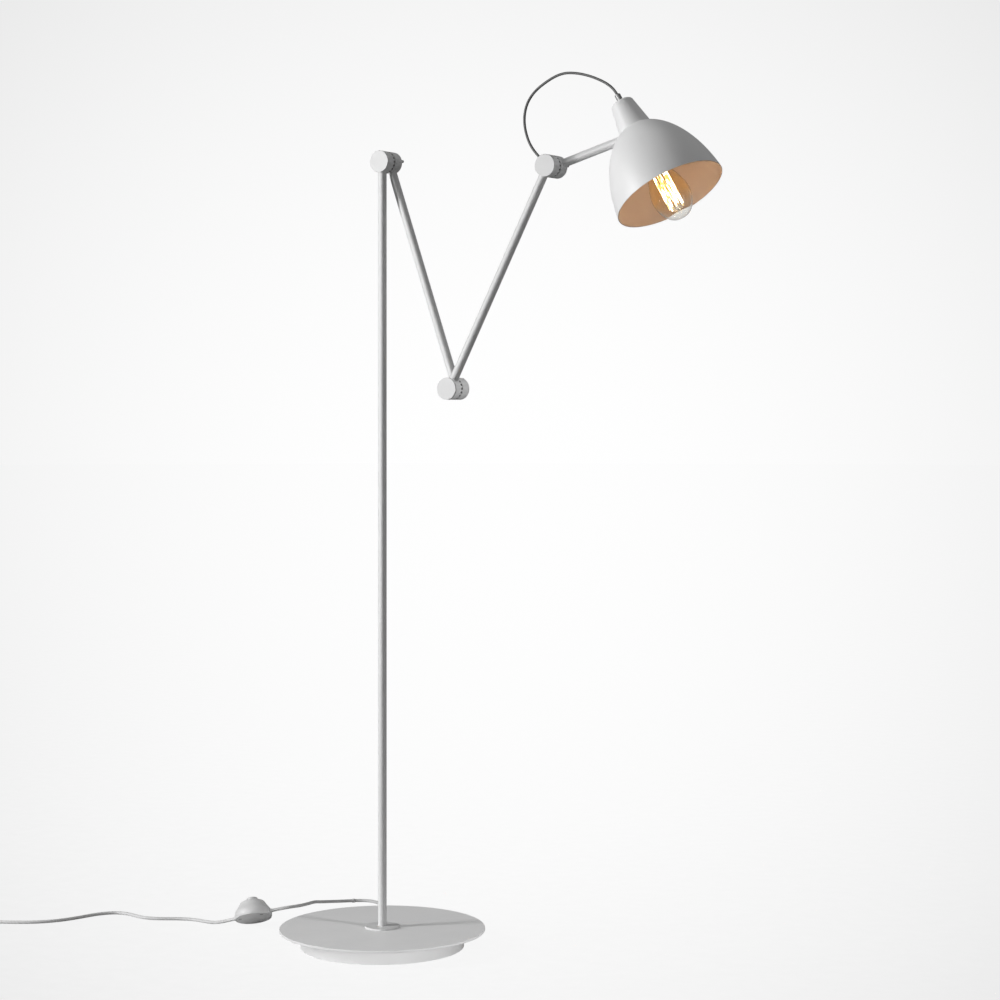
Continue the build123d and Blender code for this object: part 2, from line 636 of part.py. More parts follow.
def make_plug(start, away, right):
    """A flat two-pin plug with a tapered relief, lying on its broad side."""
    body_start = start + away * plug_relief_length
    foot = Plane(origin=body_start, z_dir=away, x_dir=right)
    back = foot * RectangleRounded(plug_width * plug_back_share, plug_height, plug_corner)
    widest_at = plug_length * plug_widest_share
    middle = foot.offset(widest_at) * RectangleRounded(plug_width, plug_height, plug_corner)
    nose = foot.offset(plug_length) * RectangleRounded(plug_nose_width, plug_height, plug_corner)
    body = loft([back, middle]) + loft([middle, nose])
    body += taper(start, away, cord_radius + plug_relief_tip, cord_radius + plug_relief_root,
                  plug_relief_length)
    pins = []
    for side in (-0.5, 0.5):
        root = body_start + away * (plug_length - pin_depth) + right * side * pin_spacing
        pin = rod(root, away, pin_radius, pin_depth + pin_length)
        body -= pin
        pins.append(fillet(pin.edges().filter_by(GeomType.CIRCLE).sort_by(
            lambda edge: edge.center().dot(away))[-1], pin_end_round))
    parts["plug_body"] = body
    parts["plug_pins"] = Compound(pins)


def switch_plane():
    lean = math.radians(switch_lean)
    heading = math.radians(switch_lean_heading)
    up = Vector(math.sin(lean) * math.cos(heading), math.sin(lean) * math.sin(heading), math.cos(lean))
    line = Vector(math.cos(math.radians(switch_cord_heading)), math.sin(math.radians(switch_cord_heading)), 0)
    return Plane(origin=switch_place, z_dir=up, x_dir=line - up * line.dot(up))


def switch_bell(shrink):
    """The housing's outline about local Z as one solid, made smaller all round by a wall."""
    rim = switch_rim_radius - shrink
    top = switch_top_height - shrink
    side = Spline(
        (rim, switch_rim_height), (rim - switch_side_inset, switch_side_height),
        (switch_shoulder_radius - shrink, switch_shoulder_height), (switch_collar_radius - shrink, top),
        tangents=[(0, 1), (-1, 0.1)])
    outline = Polyline(
        (switch_collar_radius - shrink, top), (0, top), (0, 0), (switch_foot_radius - shrink, 0),
        (rim, switch_rim_height))
    return revolve(Plane.XZ * make_face([side, outline]), Axis.Z)


def make_switch(switch):
    """A bell-shaped foot switch with a push button on top, its underside closed by a screwed plate."""
    plate_top = switch_plate_thickness
    cover = switch_bell(0) - switch_bell(switch_wall)
    cover -= extrude(Circle(switch_foot_radius - switch_wall), amount=switch_wall + past)
    cover -= extrude(Plane.XY.offset(switch_top_height - 2 * switch_wall) * Circle(
        button_radius + button_gap), amount=3 * switch_wall)
    places = PolarLocations(switch_screw_circle, 3, start_angle=90)
    posts = Sketch() + places * Circle(switch_boss_radius)
    posts = extrude(Plane.XY.offset(plate_top + switch_plate_gap) * posts, amount=switch_top_height)
    cover += posts & switch_bell(switch_wall / 2)
    shank_circles = Sketch() + places * Circle(switch_screw_radius)
    head_circles = Sketch() + places * Circle(switch_screw_head_radius)
    shanks = extrude(Plane.XY.offset(switch_screw_head) * shank_circles, amount=switch_screw_length)
    heads = extrude(head_circles, amount=switch_screw_head)
    plate = extrude(Circle(switch_foot_radius - switch_wall - switch_plate_gap), amount=plate_top)
    cover -= shanks
    plate = plate - shanks - heads
    cord_line = Plane(origin=(-grommet_out, 0, switch_cord_height), z_dir=(1, 0, 0))
    passage = extrude(cord_line * Circle(grommet_radius), amount=2 * grommet_out)
    cord_bore = extrude(cord_line * Circle(cord_radius), amount=2 * grommet_out)
    cover -= passage
    grommets = []
    for side in (-1, 1):
        outside = taper((side * grommet_tapers_from, 0, switch_cord_height), (side, 0, 0), grommet_radius,
                        grommet_tip_radius, grommet_out - grommet_tapers_from)
        inner = rod((side * grommet_inside, 0, switch_cord_height), (side, 0, 0), grommet_radius,
                    grommet_tapers_from - grommet_inside)
        grommets.append(outside + inner - cord_bore)
    skirt_top = switch_top_height - switch_wall - button_gap
    button = extrude(Plane.XY.offset(skirt_top - button_skirt) * Circle(button_skirt_radius),
                     amount=button_skirt)
    knob = extrude(Plane.XY.offset(skirt_top) * Circle(button_radius),
                   amount=switch_top_height + button_proud - skirt_top)
    button += fillet(knob.edges().filter_by(GeomType.CIRCLE).sort_by(Axis.Z)[-1], button_edge_round)
    block = Plane.XY.offset(plate_top) * Rectangle(*contact_block_size[:2])
    block = extrude(block, amount=contact_block_size[2])
    block_top = plate_top + contact_block_size[2]
    spring_top = skirt_top - button_skirt
    spring_height = spring_top - block_top - 2 * spring_wire_radius
    helix = Helix(spring_height / spring_turns, spring_height, spring_radius).moved(
        Location((0, 0, block_top + spring_wire_radius)))
    coil_section = Plane(origin=helix @ 0, z_dir=helix % 0) * Circle(spring_wire_radius)
    spring = sweep(coil_section, path=helix, is_frenet=True)
    pieces = {
        "switch_cover": cover, "switch_plate": plate,
        "switch_screws": Compound([a + b for a, b in zip(shanks.solids(), heads.solids())]),
        "switch_grommets": Compound(grommets), "switch_contact_block": block,
        "switch_button": button, "switch_spring": spring,
    }
    for name, piece in pieces.items():
        parts[name] = piece.moved(switch.location)


# ---- build -------------------------------------------------------------------------------------------
def main():
    gland_tip = make_base()
    make_arms()
    make_head()
    make_loop()
    switch = switch_plane()
    make_switch(switch)
    plug_start, away, right = make_cords(gland_tip, switch)
    make_plug(plug_start, away, right)
    os.makedirs("parts", exist_ok=True)
    for name, piece in parts.items():
        export_step(piece, f"parts/{name}.step")
    print(len(parts), "nodes")
    for name, point in (("shoulder", shoulder), ("elbow", elbow), ("wrist", wrist), ("head", head_point)):
        print(name, [round(value / 1000, 5) for value in point])
    print("arm3 axis", [round(value, 6) for value in arm3_axis], "head axis",
          [round(value, 6) for value in head_axis])
    print("switch axis", [round(value, 6) for value in switch.z_dir])


main()
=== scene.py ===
import json
import math
import bmesh
import bpy
from mathutils import Matrix, Vector


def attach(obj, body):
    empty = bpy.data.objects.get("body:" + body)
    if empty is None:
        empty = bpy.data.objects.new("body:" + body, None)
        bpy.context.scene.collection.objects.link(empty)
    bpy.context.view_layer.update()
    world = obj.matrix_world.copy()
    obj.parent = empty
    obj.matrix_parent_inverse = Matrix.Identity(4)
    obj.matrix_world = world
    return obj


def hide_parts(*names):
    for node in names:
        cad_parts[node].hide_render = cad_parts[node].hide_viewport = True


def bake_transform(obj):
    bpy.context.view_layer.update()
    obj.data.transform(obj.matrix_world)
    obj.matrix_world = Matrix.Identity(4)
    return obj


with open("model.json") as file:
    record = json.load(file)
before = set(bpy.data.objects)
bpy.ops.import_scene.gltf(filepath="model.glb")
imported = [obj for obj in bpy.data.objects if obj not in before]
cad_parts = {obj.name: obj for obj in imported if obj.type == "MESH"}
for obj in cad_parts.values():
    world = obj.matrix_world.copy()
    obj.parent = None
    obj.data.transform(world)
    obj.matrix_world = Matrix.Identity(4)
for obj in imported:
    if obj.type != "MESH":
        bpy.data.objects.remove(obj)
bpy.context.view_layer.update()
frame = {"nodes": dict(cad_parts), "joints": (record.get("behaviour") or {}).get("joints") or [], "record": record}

# Adjustable arm floor lamp: its looks. Metres, in the CAD model's frame, +Z up.

nodes = frame["nodes"]
joints = {joint["name"]: joint for joint in frame["joints"]}
scene = bpy.context.scene


# ---- places and sizes --------------------------------------------------------------------------------
camera_place = (2.1924, -3.2711, 0.904)
camera_heading = 31.0               # degrees: it looks along +Y turned by this, level
camera_lens = 85.6
camera_shift = -0.1

head_point = Vector(joints["head_swivel"]["pos_m"])
head_forward_tilt = 31.8            # degrees from straight down
head_side_tilt = 4.2
head_axis = Vector((
    math.cos(math.radians(head_side_tilt)) * math.sin(math.radians(head_forward_tilt)),
    -math.sin(math.radians(head_side_tilt)),
    -math.cos(math.radians(head_side_tilt)) * math.cos(math.radians(head_forward_tilt))))
dome_long_radius = 0.1585           # the dome is a slice of an ellipsoid about the head's axis
dome_cross_radius = 0.0908
dome_centre_at = 0.143
shade_wall = 0.001

mains_radius = 0.00275
mains_floor = 0.00285
gland_tip = (-0.08188, 0.13629, 0.008)
base_run_points = [
    (-0.0938, 0.1571, 0.0066), (-0.1076, 0.1791, mains_floor), (-0.1262, 0.2042, mains_floor),
    (-0.1469, 0.229, mains_floor), (-0.1662, 0.2513, mains_floor), (-0.1854, 0.2678, mains_floor),
    (-0.2085, 0.2772, mains_floor), (-0.23, 0.2701, mains_floor), (-0.2447, 0.2519, 0.0034),
    (-0.2474, 0.2235, 0.0075), (-0.2426, 0.1844, 0.0145), (-0.2325, 0.144, 0.0225),
    (-0.2205, 0.1175, 0.029), (-0.2068, 0.0818, 0.034), (-0.2021, 0.0582, 0.0362),
    (-0.2065, 0.0387, 0.0366), (-0.22, 0.0241, 0.0353),
]
switch_entry = (-0.23933, 0.01793, 0.02993)
switch_outlet = (-0.30383, -0.00235, 0.01183)
floor_run_points = [
    (-0.3166, -0.0063, 0.0082), (-0.331, -0.0104, 0.0043), (-0.347, -0.0125, mains_floor),
    (-0.366, -0.0115, mains_floor), (-0.386, -0.0085, mains_floor), (-0.409, -0.0145, mains_floor),
    (-0.434, -0.03, mains_floor), (-0.461, -0.0435, mains_floor), (-0.49, -0.04, mains_floor),
    (-0.515, -0.031, mains_floor), (-0.54, -0.035, mains_floor), (-0.556, -0.054, mains_floor),
    (-0.5645, -0.078, mains_floor), (-0.57, -0.104, mains_floor), (-0.58, -0.131, mains_floor),
    (-0.597, -0.156, mains_floor), (-0.62, -0.1755, mains_floor), (-0.65, -0.1915, mains_floor),
    (-0.6793, -0.2052, mains_floor),
]
coil_centre = Vector((-0.7366, -0.2011, 0))
coil_turns = [                      # each turn's radius and height
    (0.033, mains_floor), (0.0275, mains_floor), (0.022, mains_floor), (0.02475, 0.0071), (0.03025, 0.0071),
]
coil_points_per_turn = 16
coil_step_from = 0.7                # of a turn, where it starts to move over to the next
coil_lead_out = 0.026
cord_band_near = Vector((-0.2375, 0.262, 0.003))

loop_radius = 0.0021
loop_start = (0.30021, 0, 1.28999)
loop_lower_points = [
    (0.2858, 0, 1.3039), (0.275, 0.0022, 1.324), (0.2683, 0.0048, 1.348), (0.2695, 0.0075, 1.371),
    (0.278, 0.0102, 1.39), (0.2921, 0.0129, 1.4038),
]
loop_middle = (0.3096, 0.0149, 1.4135)
loop_upper_points = [
    (0.3271, 0.0169, 1.4232), (0.349, 0.0193, 1.4235), (0.371, 0.022, 1.4188), (0.394, 0.0252, 1.4105),
    (0.4172, 0.0283, 1.3973),
]
loop_end = (0.42559, 0.02707, 1.38374)
loop_lengths = (0.151, 0.131)

backdrop_fall = 4.1                 # how fast it darkens away from the middle of the photo camera's view
backdrop_middle_drop = -0.04        # how far below level that middle is, as a slope
backdrop_least = 0.80               # the backdrop's brightness behind the camera and far to its sides
floor_radius = 30
room_light = 0.20                   # what reaches the lamp from all round, above the floor
bulb_light_at = 0.105               # along the head's axis
bulb_light_radius = 0.012
bulb_power = 0.18                   # what the bulb throws on the inside of the shade, besides its filament
floor_own_light = 0.02              # what the floor's own shading adds to its glow
floor_bounce = (0.65, 0.2)          # how much light it throws back, near the base and away from it

coat_light, coat_dark = 0.82, 0.75  # the white powder coat's two greys
coat_roughness = 0.38
coat_peel = 0.00003                 # how deep its orange peel is
coat_peel_scale = 700

painted_notch_shade_inside = 0.0176        # from a joint's axis: nearer in than this, the notched ring is painted near black as the shade in its notches
notches_round = 18
notch_share = 0.45                  # how much of each step round the ring a notch takes
notch_shade_reach = 0.0028          # how far the notches' shade reaches along the front barrel

arm_joints = ("shoulder", "elbow", "wrist")
drawn_as = {"switch_plate": "white_plastic", "cord_grip": "satin_grip"}     # finishes other than the slot's
# the joints' rings and front barrels get finishes with painted notch shade
for arm_joint in arm_joints:
    drawn_as[arm_joint + "_index_ring"] = arm_joint + "_ring"
    drawn_as[arm_joint + "_front_barrel"] = arm_joint + "_barrel"

away = Vector((-math.sin(math.radians(camera_heading)), math.cos(math.radians(camera_heading)), 0))
right = Vector((math.cos(math.radians(camera_heading)), math.sin(math.radians(camera_heading)), 0))
up = Vector((0, 0, 1))


# ---- meshes ------------------------------------------------------------------------------------------
def frame_along(axis, origin=(0, 0, 0)):
    """A matrix whose local Z runs along an axis, from an origin."""
    return Matrix.Translation(origin) @ Vector(axis).to_track_quat("Z", "Y").to_matrix().to_4x4()


def piece_from(name, mesh, material, body, sharp=40):
    """An object from a bmesh, smooth but for its sharp edges, riding on a body if one is named."""
    data = bpy.data.meshes.new(name)
    mesh.to_mesh(data)
    mesh.free()
    data.shade_smooth()
    data.set_sharp_from_angle(angle=math.radians(sharp))
    data.materials.append(material)
    piece = bpy.data.objects.new(name, data)
    scene.collection.objects.link(piece)
    if body:
        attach(piece, body)
    return piece


def lathe(mesh, outline, place, sides=64):
    """Adds an outline of (radius, height), turned about a placed Z axis. Its ends on the axis are closed."""
    rings = []
    for radius, height in outline:
        if radius < 1e-7:
            rings.append([mesh.verts.new(place @ Vector((0, 0, height)))])
            continue
        rings.append([
            mesh.verts.new(place @ Vector((
                radius * math.cos(2 * math.pi * n / sides),
                radius * math.sin(2 * math.pi * n / sides), height)))
            for n in range(sides)
        ])
    for low, high in zip(rings, rings[1:]):
        for n in range(sides):
            after = (n + 1) % sides
            corners = [low[n % len(low)], low[after % len(low)], high[after % len(high)], high[n % len(high)]]
            unique = list(dict.fromkeys(corners))
            if len(unique) > 2:
                mesh.faces.new(unique)


def closed_lathe(mesh, outline, place, sides=64):
    """The same for an outline that ends where it starts, such as a ring's section."""
    lathe(mesh, [*outline, outline[0]], place, sides)
    bmesh.ops.remove_doubles(mesh, verts=mesh.verts, dist=1e-7)


def tube(mesh, path, radius, sides=12):
    """Adds a round tube along points, with flat closed ends."""
    path = [Vector(point) for point in path]
    side = None
    rings = []
    for n, point in enumerate(path):
        way = (path[min(n + 1, len(path) - 1)] - path[max(n - 1, 0)]).normalized()
        if side is None:
            side = way.orthogonal().normalized()
        side = (side - way * side.dot(way)).normalized()
        other = way.cross(side)
        rings.append([
            mesh.verts.new(point + radius * (
                math.cos(2 * math.pi * k / sides) * side + math.sin(2 * math.pi * k / sides) * other))
            for k in range(sides)
        ])
    for low, high in zip(rings, rings[1:]):
        for k in range(sides):
            mesh.faces.new((low[k], low[(k + 1) % sides], high[(k + 1) % sides], high[k]))
    mesh.faces.new(list(reversed(rings[0])))
    mesh.faces.new(rings[-1])


def nurbs(name, points, radius=0.0, resolution=10):
    """A smooth open curve with these control points; radius gives it a round section."""
    data = bpy.data.curves.new(name, "CURVE")
    data.dimensions = "3D"
    data.resolution_u = resolution
    data.bevel_depth = radius
    data.bevel_resolution = 6
    data.use_fill_caps = True
    spline = data.splines.new("NURBS")
    spline.points.add(len(points) - 1)
    for control, point in zip(spline.points, points):
        control.co = (*point, 1.0)
    spline.order_u = 4
    spline.use_endpoint_u = True
    curve = bpy.data.objects.new(name, data)
    scene.collection.objects.link(curve)
    return curve


def curve_line(points, resolution=10):
    """The points along a smooth curve with these control points."""
    curve = nurbs("line", points, resolution=resolution)
    bpy.context.view_layer.update()
    mesh = bpy.data.meshes.new_from_object(curve.evaluated_get(bpy.context.evaluated_depsgraph_get()))
    line = []
    for vertex in mesh.vertices:
        if not line or (vertex.co - line[-1]).length > 1e-5:
            line.append(vertex.co.copy())
    bpy.data.meshes.remove(mesh)
    bpy.data.objects.remove(curve)
    return line


# ---- materials ---------------------------------------------------------------------------------------
def add(tree, kind, inputs=None, **settings):
    """A new node. Its inputs are given by name or number, each as a value or as another node's output."""
    made = tree.nodes.new("ShaderNode" + kind)
    for name, value in settings.items():
        setattr(made, name, value)
    for name, value in (inputs or {}).items():
        if isinstance(value, bpy.types.NodeSocket):
            tree.links.new(value, made.inputs[name])
        else:
            made.inputs[name].default_value = value
    return made


def shader(name, **sockets):
    """A new material with its main shader's sockets set; returns it, its tree and that shader."""
    material = bpy.data.materials.new(name)
    material.use_nodes = True
    main = material.node_tree.nodes["Principled BSDF"]
    for socket, value in sockets.items():
        main.inputs[socket.replace("_", " ")].default_value = value
    return material, material.node_tree, main


def grey(level):
    return (level, level, level, 1.0)


def noise(tree, scale, detail=2.0, stretch=None):
    """A noise texture in the piece's own coordinates, in features per metre."""
    place = add(tree, "TexCoord").outputs["Object"]
    if stretch:
        place = add(tree, "Mapping", {"Vector": place, "Scale": stretch}).outputs["Vector"]
    return add(tree, "TexNoise", {"Vector": place, "Scale": scale, "Detail": detail}).outputs["Fac"]


def levels(tree, value, low, high, start=0.3, end=0.7):
    """Spreads a 0 to 1 value between two numbers."""
    spread = add(tree, "MapRange", {
        "Value": value, "From Min": start, "From Max": end, "To Min": low, "To Max": high})
    return spread.outputs["Result"]


def blend_colours(tree, factor, first, second):
    mix = add(tree, "Mix", data_type="RGBA")
    for socket, value in ((mix.inputs[0], factor), (mix.inputs[6], first), (mix.inputs[7], second)):
        if isinstance(value, bpy.types.NodeSocket):
            tree.links.new(value, socket)
        else:
            socket.default_value = value
    return mix.outputs[2]


def bump(tree, main, height, distance):
    made = add(tree, "Bump", {"Height": height, "Distance": distance, "Strength": 1.0})
    tree.links.new(made.outputs["Normal"], main.inputs["Normal"])


def coated(name, light, dark, roughness, peel=coat_peel, speck_share=0.25):
    """Powder coat: an even colour with fine specks, faint clouds, and an orange-peel surface."""
    material, tree, main = shader(name)
    clouds = levels(tree, noise(tree, 14, 3), 0.0, 0.35)
    specks = levels(tree, noise(tree, 2600, 1), 0.0, speck_share, 0.45, 0.75)
    both = add(tree, "Math", {0: clouds, 1: specks}, operation="ADD").outputs[0]
    tree.links.new(blend_colours(tree, both, light, dark), main.inputs["Base Color"])
    rough = levels(tree, noise(tree, 60, 4), roughness - 0.04, roughness + 0.05)
    tree.links.new(rough, main.inputs["Roughness"])
    bump(tree, main, noise(tree, coat_peel_scale, 2), peel)
    return material


def along_head(tree):
    """How far a point lies along the head's axis from where the third arm's axis meets it."""
    place = add(tree, "TexCoord").outputs["Object"]
    offset = add(tree, "VectorMath", {0: place, 1: head_point}, operation="SUBTRACT").outputs["Vector"]
    return add(tree, "VectorMath", {0: offset, 1: head_axis}, operation="DOT_PRODUCT").outputs["Value"]


def shade_coat():
    """White powder coat outside, matt copper paint inside, told apart by the middle of the dome's wall."""
    material, tree, main = shader("shade_coat")
    place = add(tree, "TexCoord").outputs["Object"]
    offset = add(tree, "VectorMath", {0: place, 1: head_point}, operation="SUBTRACT").outputs["Vector"]
    along = along_head(tree)
    size = add(tree, "VectorMath", {0: offset}, operation="LENGTH").outputs["Value"]
    size_squared = add(tree, "Math", {0: size, 1: 2.0}, operation="POWER").outputs[0]
    along_squared = add(tree, "Math", {0: along, 1: along}, operation="MULTIPLY").outputs[0]
    out_squared = add(tree, "Math", {0: size_squared, 1: along_squared}, operation="SUBTRACT").outputs[0]
    cross = dome_cross_radius - shade_wall / 2
    length = dome_long_radius - shade_wall / 2
    from_centre = add(tree, "Math", {0: along, 1: dome_centre_at}, operation="SUBTRACT").outputs[0]
    long_part = add(tree, "Math", {0: from_centre, 1: length}, operation="DIVIDE").outputs[0]
    long_squared = add(tree, "Math", {0: long_part, 1: long_part}, operation="MULTIPLY").outputs[0]
    cross_part = add(tree, "Math", {0: out_squared, 1: cross * cross}, operation="DIVIDE").outputs[0]
    total = add(tree, "Math", {0: long_squared, 1: cross_part}, operation="ADD").outputs[0]
    inside = add(tree, "Math", {0: total, 1: 1.0}, operation="LESS_THAN").outputs[0]
    clouds = levels(tree, noise(tree, 14, 3), 0.0, 0.5)
    specks = levels(tree, noise(tree, 2600, 1), 0.0, 0.3, 0.45, 0.75)
    both = add(tree, "Math", {0: clouds, 1: specks}, operation="ADD").outputs[0]
    white = blend_colours(tree, both, grey(coat_light), grey(coat_dark))
    copper = blend_colours(tree, both, (0.58, 0.41, 0.30, 1), (0.50, 0.35, 0.25, 1))
    tree.links.new(blend_colours(tree, inside, white, copper), main.inputs["Base Color"])
    rough = levels(tree, inside, 0.42, 0.5, 0.0, 1.0)
    tree.links.new(rough, main.inputs["Roughness"])
    bump(tree, main, noise(tree, coat_peel_scale, 2), coat_peel)
    return material


def plastic(name, light, dark, roughness, grain=0.00002, grain_scale=1500):
    """Moulded plastic: a faint grain and slight unevenness in colour and gloss."""
    material, tree, main = shader(name)
    clouds = levels(tree, noise(tree, 40, 3), 0.0, 1.0)
    tree.links.new(blend_colours(tree, clouds, light, dark), main.inputs["Base Color"])
    rough = levels(tree, noise(tree, 160, 3), roughness - 0.05, roughness + 0.06)
    tree.links.new(rough, main.inputs["Roughness"])
    bump(tree, main, noise(tree, grain_scale, 2), grain)
    return material


def metal(name, light, dark, roughness, stretch=(1, 1, 12)):
    """Machined metal: fine stretched tool marks."""
    material, tree, main = shader(name, Metallic=1.0)
    lines = noise(tree, 220, 3, stretch)
    colour = blend_colours(tree, levels(tree, lines, 0.0, 1.0), light, dark)
    tree.links.new(colour, main.inputs["Base Color"])
    rough = levels(tree, lines, roughness - 0.06, roughness + 0.08)
    tree.links.new(rough, main.inputs["Roughness"])
    bump(tree, main, lines, 0.00001)
    return material


def from_joint(tree, joint):
    """A point's offset from a joint's place."""
    place = add(tree, "TexCoord").outputs["Object"]
    offset = add(tree, "VectorMath", {0: place, 1: joints[joint]["pos_m"]}, operation="SUBTRACT")
    return offset.outputs["Vector"]


def ring_with_painted_notch_shade(joint):
    """A joint's notched ring: coated on its rim, painted near black inside its notches as the shade there."""
    material, tree, main = shader(joint + "_ring")
    flat = add(tree, "VectorMath", {0: from_joint(tree, joint), 1: (1, 0, 1)}, operation="MULTIPLY")
    out = add(tree, "VectorMath", {0: flat.outputs["Vector"]}, operation="LENGTH").outputs["Value"]
    inside = add(tree, "Math", {0: out, 1: painted_notch_shade_inside}, operation="LESS_THAN").outputs[0]
    rim = blend_colours(tree, levels(tree, noise(tree, 300, 3), 0.0, 1.0), grey(0.72), grey(0.62))
    # the notches' painted shade: near black
    dark = blend_colours(tree, levels(tree, noise(tree, 700, 3), 0.0, 1.0), grey(0.012), grey(0.03))
    tree.links.new(blend_colours(tree, inside, rim, dark), main.inputs["Base Color"])
    tree.links.new(levels(tree, noise(tree, 300, 3), 0.42, 0.55), main.inputs["Roughness"])
    bump(tree, main, noise(tree, 700, 2), 0.00002)
    return material


def barrel_with_painted_notch_shade(joint):
    """A joint's front barrel: powder coated, with the notches' shade painted as a dark dot on its edge at each
    notch.
    """
    material = coated(joint + "_barrel", grey(coat_light), grey(coat_dark), coat_roughness)
    tree = material.node_tree
    main = next(node for node in tree.nodes if node.type == "BSDF_PRINCIPLED")
    coat = main.inputs["Base Color"].links[0].from_socket
    edge = min(vertex.co.y for vertex in nodes[joint + "_index_ring"].data.vertices)
    shade_from = edge - joints[joint]["pos_m"][1] - notch_shade_reach
    parts = add(tree, "SeparateXYZ", {0: from_joint(tree, joint)})
    turn = add(tree, "Math", {0: parts.outputs["Z"], 1: parts.outputs["X"]}, operation="ARCTAN2").outputs[0]
    step = add(tree, "Math", {0: turn, 1: 2 * math.pi / notches_round}, operation="DIVIDE").outputs[0]
    whole = add(tree, "Math", {0: step}, operation="ROUND").outputs[0]
    off_middle = add(tree, "Math", {0: step, 1: whole}, operation="SUBTRACT").outputs[0]
    beside = add(tree, "Math", {0: off_middle}, operation="ABSOLUTE").outputs[0]
    near_notch = add(tree, "Math", {0: beside, 1: notch_share / 2}, operation="LESS_THAN").outputs[0]
    near_edge = add(tree, "Math", {0: parts.outputs["Y"], 1: shade_from}, operation="GREATER_THAN").outputs[0]
    # each dot is painted shade of the notch beside it, near black on the barrel's edge
    dot = add(tree, "Math", {0: near_notch, 1: near_edge}, operation="MULTIPLY").outputs[0]
    tree.links.new(blend_colours(tree, dot, coat, grey(0.02)), main.inputs["Base Color"])
    return material


def cast_iron():
    material, tree, main = shader("cast_iron", Metallic=0.6)
    sand = noise(tree, 900, 6)
    tree.links.new(blend_colours(tree, levels(tree, sand, 0.0, 1.0), grey(0.05), grey(0.11)),
                   main.inputs["Base Color"])
    tree.links.new(levels(tree, sand, 0.6, 0.85), main.inputs["Roughness"])
    bump(tree, main, sand, 0.0004)
    return material


def clear_glass():
    """Clear glass, amber beside the filament and plain at its tip, that lets the lights' shadows through."""
    material, tree, main = shader("clear_glass", IOR=1.45, Roughness=0.0, Transmission_Weight=1.0)
    waves = noise(tree, 90, 2)
    amber = blend_colours(tree, levels(tree, waves, 0.0, 1.0), (1.0, 0.86, 0.62, 1), (1.0, 0.91, 0.72, 1))
    tip = levels(tree, along_head(tree), 0.0, 1.0, 0.122, 0.142)
    tree.links.new(blend_colours(tree, tip, amber, (0.90, 0.895, 0.875, 1)), main.inputs["Base Color"])
    bump(tree, main, waves, 0.00008)
    out = tree.nodes["Material Output"]
    through = add(tree, "BsdfTransparent")
    ray = add(tree, "LightPath").outputs["Is Shadow Ray"]
    mix = add(tree, "MixShader", {0: ray, 1: main.outputs[0], 2: through.outputs[0]})
    tree.links.new(mix.outputs[0], out.inputs["Surface"])
    return material


def filament_glow():
    """A hot filament, white along most of its fine winding and yellow where it is cooler."""
    material, tree, main = shader("filament_glow", Roughness=0.6)
    main.inputs["Base Color"].default_value = (0.9, 0.6, 0.2, 1)
    hot = levels(tree, noise(tree, 75, 1), 0.0, 1.0, 0.42, 0.52)
    winding = levels(tree, noise(tree, 1800, 1), 0.8, 1.2)
    heat = levels(tree, hot, 0.95, 7.0, 0.0, 1.0)
    strength = add(tree, "Math", {0: heat, 1: winding}, operation="MULTIPLY")
    tree.links.new(strength.outputs[0], main.inputs["Emission Strength"])
    tree.links.new(blend_colours(tree, hot, (0.98, 0.86, 0.36, 1), (1.0, 0.90, 0.72, 1)),
                   main.inputs["Emission Color"])
    return material


def make_materials():
    finish = {
        "white_enamel": coated("white_coat", grey(coat_light), grey(coat_dark), coat_roughness),
        "disc_enamel": coated("disc_coat", grey(0.84), grey(0.76), 0.5, speck_share=0.5, peel=0.00005),
        "shade_enamel": shade_coat(),
        "cast_iron": cast_iron(),
        "floor_rubber": plastic("floor_rubber", grey(0.035), grey(0.05), 0.8, grain=0.0001, grain_scale=800),
        "satin_grip": metal("satin_grip", grey(0.30), grey(0.22), 0.52),
        "steel": metal("plated_steel", grey(0.46), grey(0.36), 0.34),
        "nickel": metal("nickel", (0.62, 0.59, 0.54, 1), (0.5, 0.48, 0.44, 1), 0.28),
        "white_plastic": plastic("white_plastic", grey(0.74), grey(0.68), 0.42),
        "dark_plastic": plastic("dark_plastic", grey(0.03), grey(0.045), 0.45),
        "cord_cover": plastic("cord_cover", grey(0.72), grey(0.66), 0.5, grain=0.000008, grain_scale=2500),
        "loop_cover": plastic("loop_cover", grey(0.14), grey(0.115), 0.5, grain=0.000006, grain_scale=2500),
        "clear_glass": clear_glass(),
        "filament": filament_glow(),
        "contact_plastic": plastic("contact_plastic", (0.3, 0.25, 0.16, 1), (0.24, 0.2, 0.13, 1), 0.5),
        "spring_steel": metal("spring_steel", grey(0.5), grey(0.4), 0.3, stretch=(1, 1, 1)),
    }
    for joint in arm_joints:
        finish[joint + "_ring"] = ring_with_painted_notch_shade(joint)
        finish[joint + "_barrel"] = barrel_with_painted_notch_shade(joint)
    return finish


# ---- the camera and the cords ------------------------------------------------------------------------
def make_camera():
    data = bpy.data.cameras.new("camera")
    data.lens = camera_lens
    data.shift_y = camera_shift
    data.clip_end = 100
    camera = bpy.data.objects.new("camera", data)
    camera.location = camera_place
    camera.rotation_euler = (math.radians(90), 0, math.radians(camera_heading))
    scene.collection.objects.link(camera)
    scene.camera = camera


